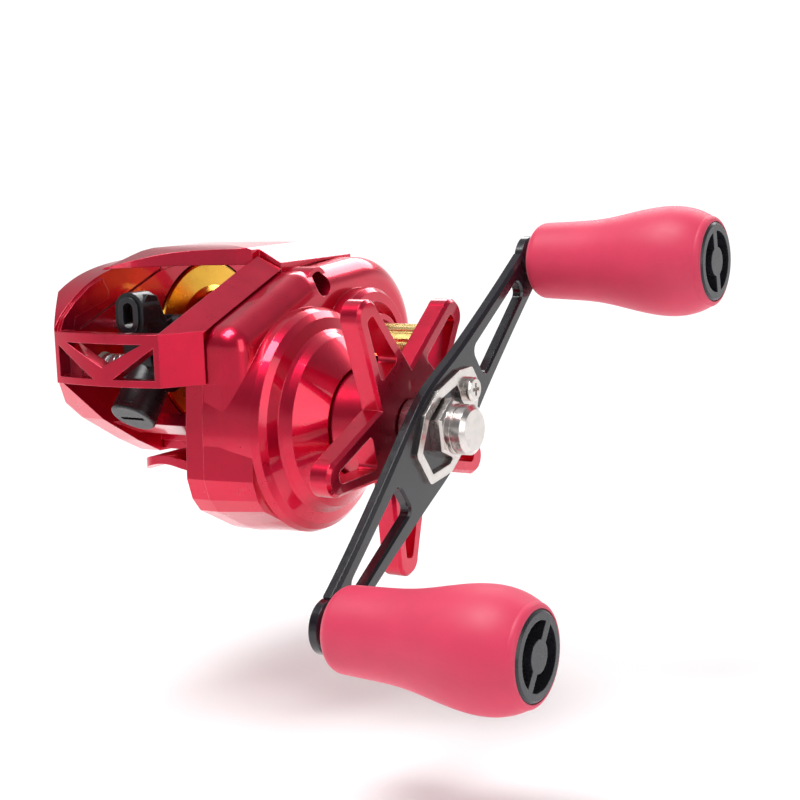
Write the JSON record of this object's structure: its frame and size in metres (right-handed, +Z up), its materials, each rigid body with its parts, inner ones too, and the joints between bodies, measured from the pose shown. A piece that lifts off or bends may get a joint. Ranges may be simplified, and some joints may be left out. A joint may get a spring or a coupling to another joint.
{
  "type": "baitcasting reel",
  "caption": "Low-profile baitcasting reel: geared handle, star drag, spool, level wind, thumb clutch, magnetic brake and cast control on a one-piece frame with a rod foot.",
  "frame": {"origin": "middle of the reel foot's seat, directly under the spool axis", "axes": "+X along the spool axis towards the handle, +Y back towards the angler, +Z up away from the rod"},
  "size_m": [0.1166, 0.095, 0.076],
  "materials": {
    "painted_red": "gloss",
    "spool_gold": "gloss",
    "cap_gold": "gloss",
    "arm_black": "gloss",
    "knob_soft_red": "satin",
    "cap_black": "gloss",
    "guide_black": "satin",
    "ceramic_grey": "gloss",
    "thumb_black": "satin",
    "nickel": "satin",
    "steel": "satin",
    "screw_dark": "satin",
    "brass": "satin",
    "fibre": "matte",
    "white_nylon": "satin",
    "magnet_nickel": "gloss"
  },
  "bodies": {
    "reel_body": {"frame": "painted_red", "reel_foot": "painted_red", "foot_screws": "screw_dark", "front_hood": "painted_red", "top_bridge": "painted_red", "bridge_pins": "steel", "handle_side_cover": "painted_red", "cover_screws": "screw_dark", "palm_side_cover": "painted_red", "palm_screws": "screw_dark", "spool_bearings": "steel", "pinion_bearing": "steel", "shaft_bearing": "steel", "one_way_clutch": "steel", "worm_bushes": "white_nylon", "guide_rod": "steel", "idler_post": "steel", "yoke_posts": "steel"},
    "crank": {"drive_shaft": "steel", "main_gear": "brass", "level_wind_drive_gear": "white_nylon", "drag_washers": "fibre", "drag_plates": "steel", "pressure_plate": "steel", "one_way_sleeve": "steel", "drag_springs": "steel", "handle_spacer": "steel", "handle_arm": "arm_black", "knob_spindles": "steel", "knob_bearings": "steel", "knob_retaining_screws": "steel", "handle_nut": "nickel", "nut_retainer": "nickel", "retainer_screw": "nickel"},
    "upper_grip": {"upper_knob": "knob_soft_red", "upper_knob_cap": "cap_black"},
    "lower_grip": {"lower_knob": "knob_soft_red", "lower_knob_cap": "cap_black"},
    "star": {"star_drag": "painted_red"},
    "drag_nut": {"star_nut": "brass"},
    "spool_group": {"spool": "spool_gold", "spool_shaft": "steel", "spool_pin": "steel", "brake_rotor": "spool_gold"},
    "yoke": {"clutch_yoke": "white_nylon", "yoke_springs": "steel"},
    "pinion": {"pinion_gear": "brass"},
    "thumb": {"thumb_bar": "thumb_black"},
    "idler": {"idler_gear": "white_nylon"},
    "worm": {"worm_shaft": "steel", "worm_gear": "white_nylon"},
    "guide": {"line_guide": "guide_black", "line_guide_eye": "ceramic_grey", "pawl": "brass", "pawl_cap": "guide_black"},
    "cast_plug": {"cast_pad": "brass"},
    "cast_cap": {"cast_control_cap": "cap_gold"},
    "dial": {"brake_dial": "thumb_black"},
    "magnets": {"magnet_carrier": "white_nylon", "brake_magnets": "magnet_nickel"}
  },
  "joints": [
    {"name": "crank_turn", "type": "hinge", "parent": "reel_body", "child": "crank", "pos_m": [0.0192, -0.018, 0.008], "axis": [1, 0, 0], "continuous": true},
    {"name": "upper_knob_turn", "type": "hinge", "parent": "crank", "child": "upper_grip", "pos_m": [0.0559, 0.01914, 0.03565], "axis": [1, 0, 0], "continuous": true},
    {"name": "lower_knob_turn", "type": "hinge", "parent": "crank", "child": "lower_grip", "pos_m": [0.0559, -0.05514, -0.01965], "axis": [1, 0, 0], "continuous": true},
    {"name": "star_turn", "type": "hinge", "parent": "crank", "child": "star", "pos_m": [0.044, -0.018, 0.008], "axis": [1, 0, 0], "range_deg": [-180, 180]},
    {"name": "drag_nut_travel", "type": "slide", "parent": "star", "child": "drag_nut", "axis": [1, 0, 0], "range_m": [-0.00031, 0.00031]},
    {"name": "spool_turn", "type": "hinge", "parent": "reel_body", "child": "spool_group", "pos_m": [0, 0, 0.0195], "axis": [1, 0, 0], "continuous": true},
    {"name": "clutch_travel", "type": "slide", "parent": "reel_body", "child": "yoke", "axis": [1, 0, 0], "range_m": [0, 0.00161]},
    {"name": "pinion_turn", "type": "hinge", "parent": "yoke", "child": "pinion", "pos_m": [0.02, 0, 0.0195], "axis": [1, 0, 0], "continuous": true},
    {"name": "thumb_press", "type": "slide", "parent": "reel_body", "child": "thumb", "axis": [0, 0, -1], "range_m": [0, 0.0045]},
    {"name": "idler_turn", "type": "hinge", "parent": "reel_body", "child": "idler", "pos_m": [0.017, -0.02875, 0.01262], "axis": [1, 0, 0], "continuous": true},
    {"name": "worm_turn", "type": "hinge", "parent": "reel_body", "child": "worm", "pos_m": [0, -0.033, 0.0188], "axis": [1, 0, 0], "continuous": true},
    {"name": "line_guide_travel", "type": "slide", "parent": "reel_body", "child": "guide", "axis": [1, 0, 0], "range_m": [-0.0078, 0.0078]},
    {"name": "cast_plug_travel", "type": "slide", "parent": "reel_body", "child": "cast_plug", "axis": [1, 0, 0], "range_m": [-0.00035, 0.0007]},
    {"name": "cast_cap_turn", "type": "hinge", "parent": "cast_plug", "child": "cast_cap", "pos_m": [0.038, 0, 0.0195], "axis": [1, 0, 0], "range_deg": [-184, 364]},
    {"name": "brake_dial_turn", "type": "hinge", "parent": "reel_body", "child": "dial", "pos_m": [-0.021, 0, 0.0195], "axis": [1, 0, 0], "range_deg": [-2, 302]},
    {"name": "magnet_travel", "type": "slide", "parent": "reel_body", "child": "magnets", "axis": [1, 0, 0], "range_m": [0, 0.001]}
  ],
  "couplings": [
    {"joint": "drag_nut_travel", "follows": "star_turn", "m_per_rad": -0.000095493},
    {"joint": "spool_turn", "follows": "crank_turn", "ratio": -6.5},
    {"joint": "pinion_turn", "follows": "crank_turn", "ratio": -6.5},
    {"joint": "idler_turn", "follows": "crank_turn", "ratio": -2},
    {"joint": "worm_turn", "follows": "crank_turn", "ratio": 2.1667},
    {"joint": "clutch_travel", "follows": "thumb_press", "ratio": 0.35556},
    {"joint": "cast_cap_turn", "follows": "cast_plug_travel", "rad_per_m": 8976},
    {"joint": "brake_dial_turn", "follows": "magnet_travel", "rad_per_m": 5236}
  ]
}
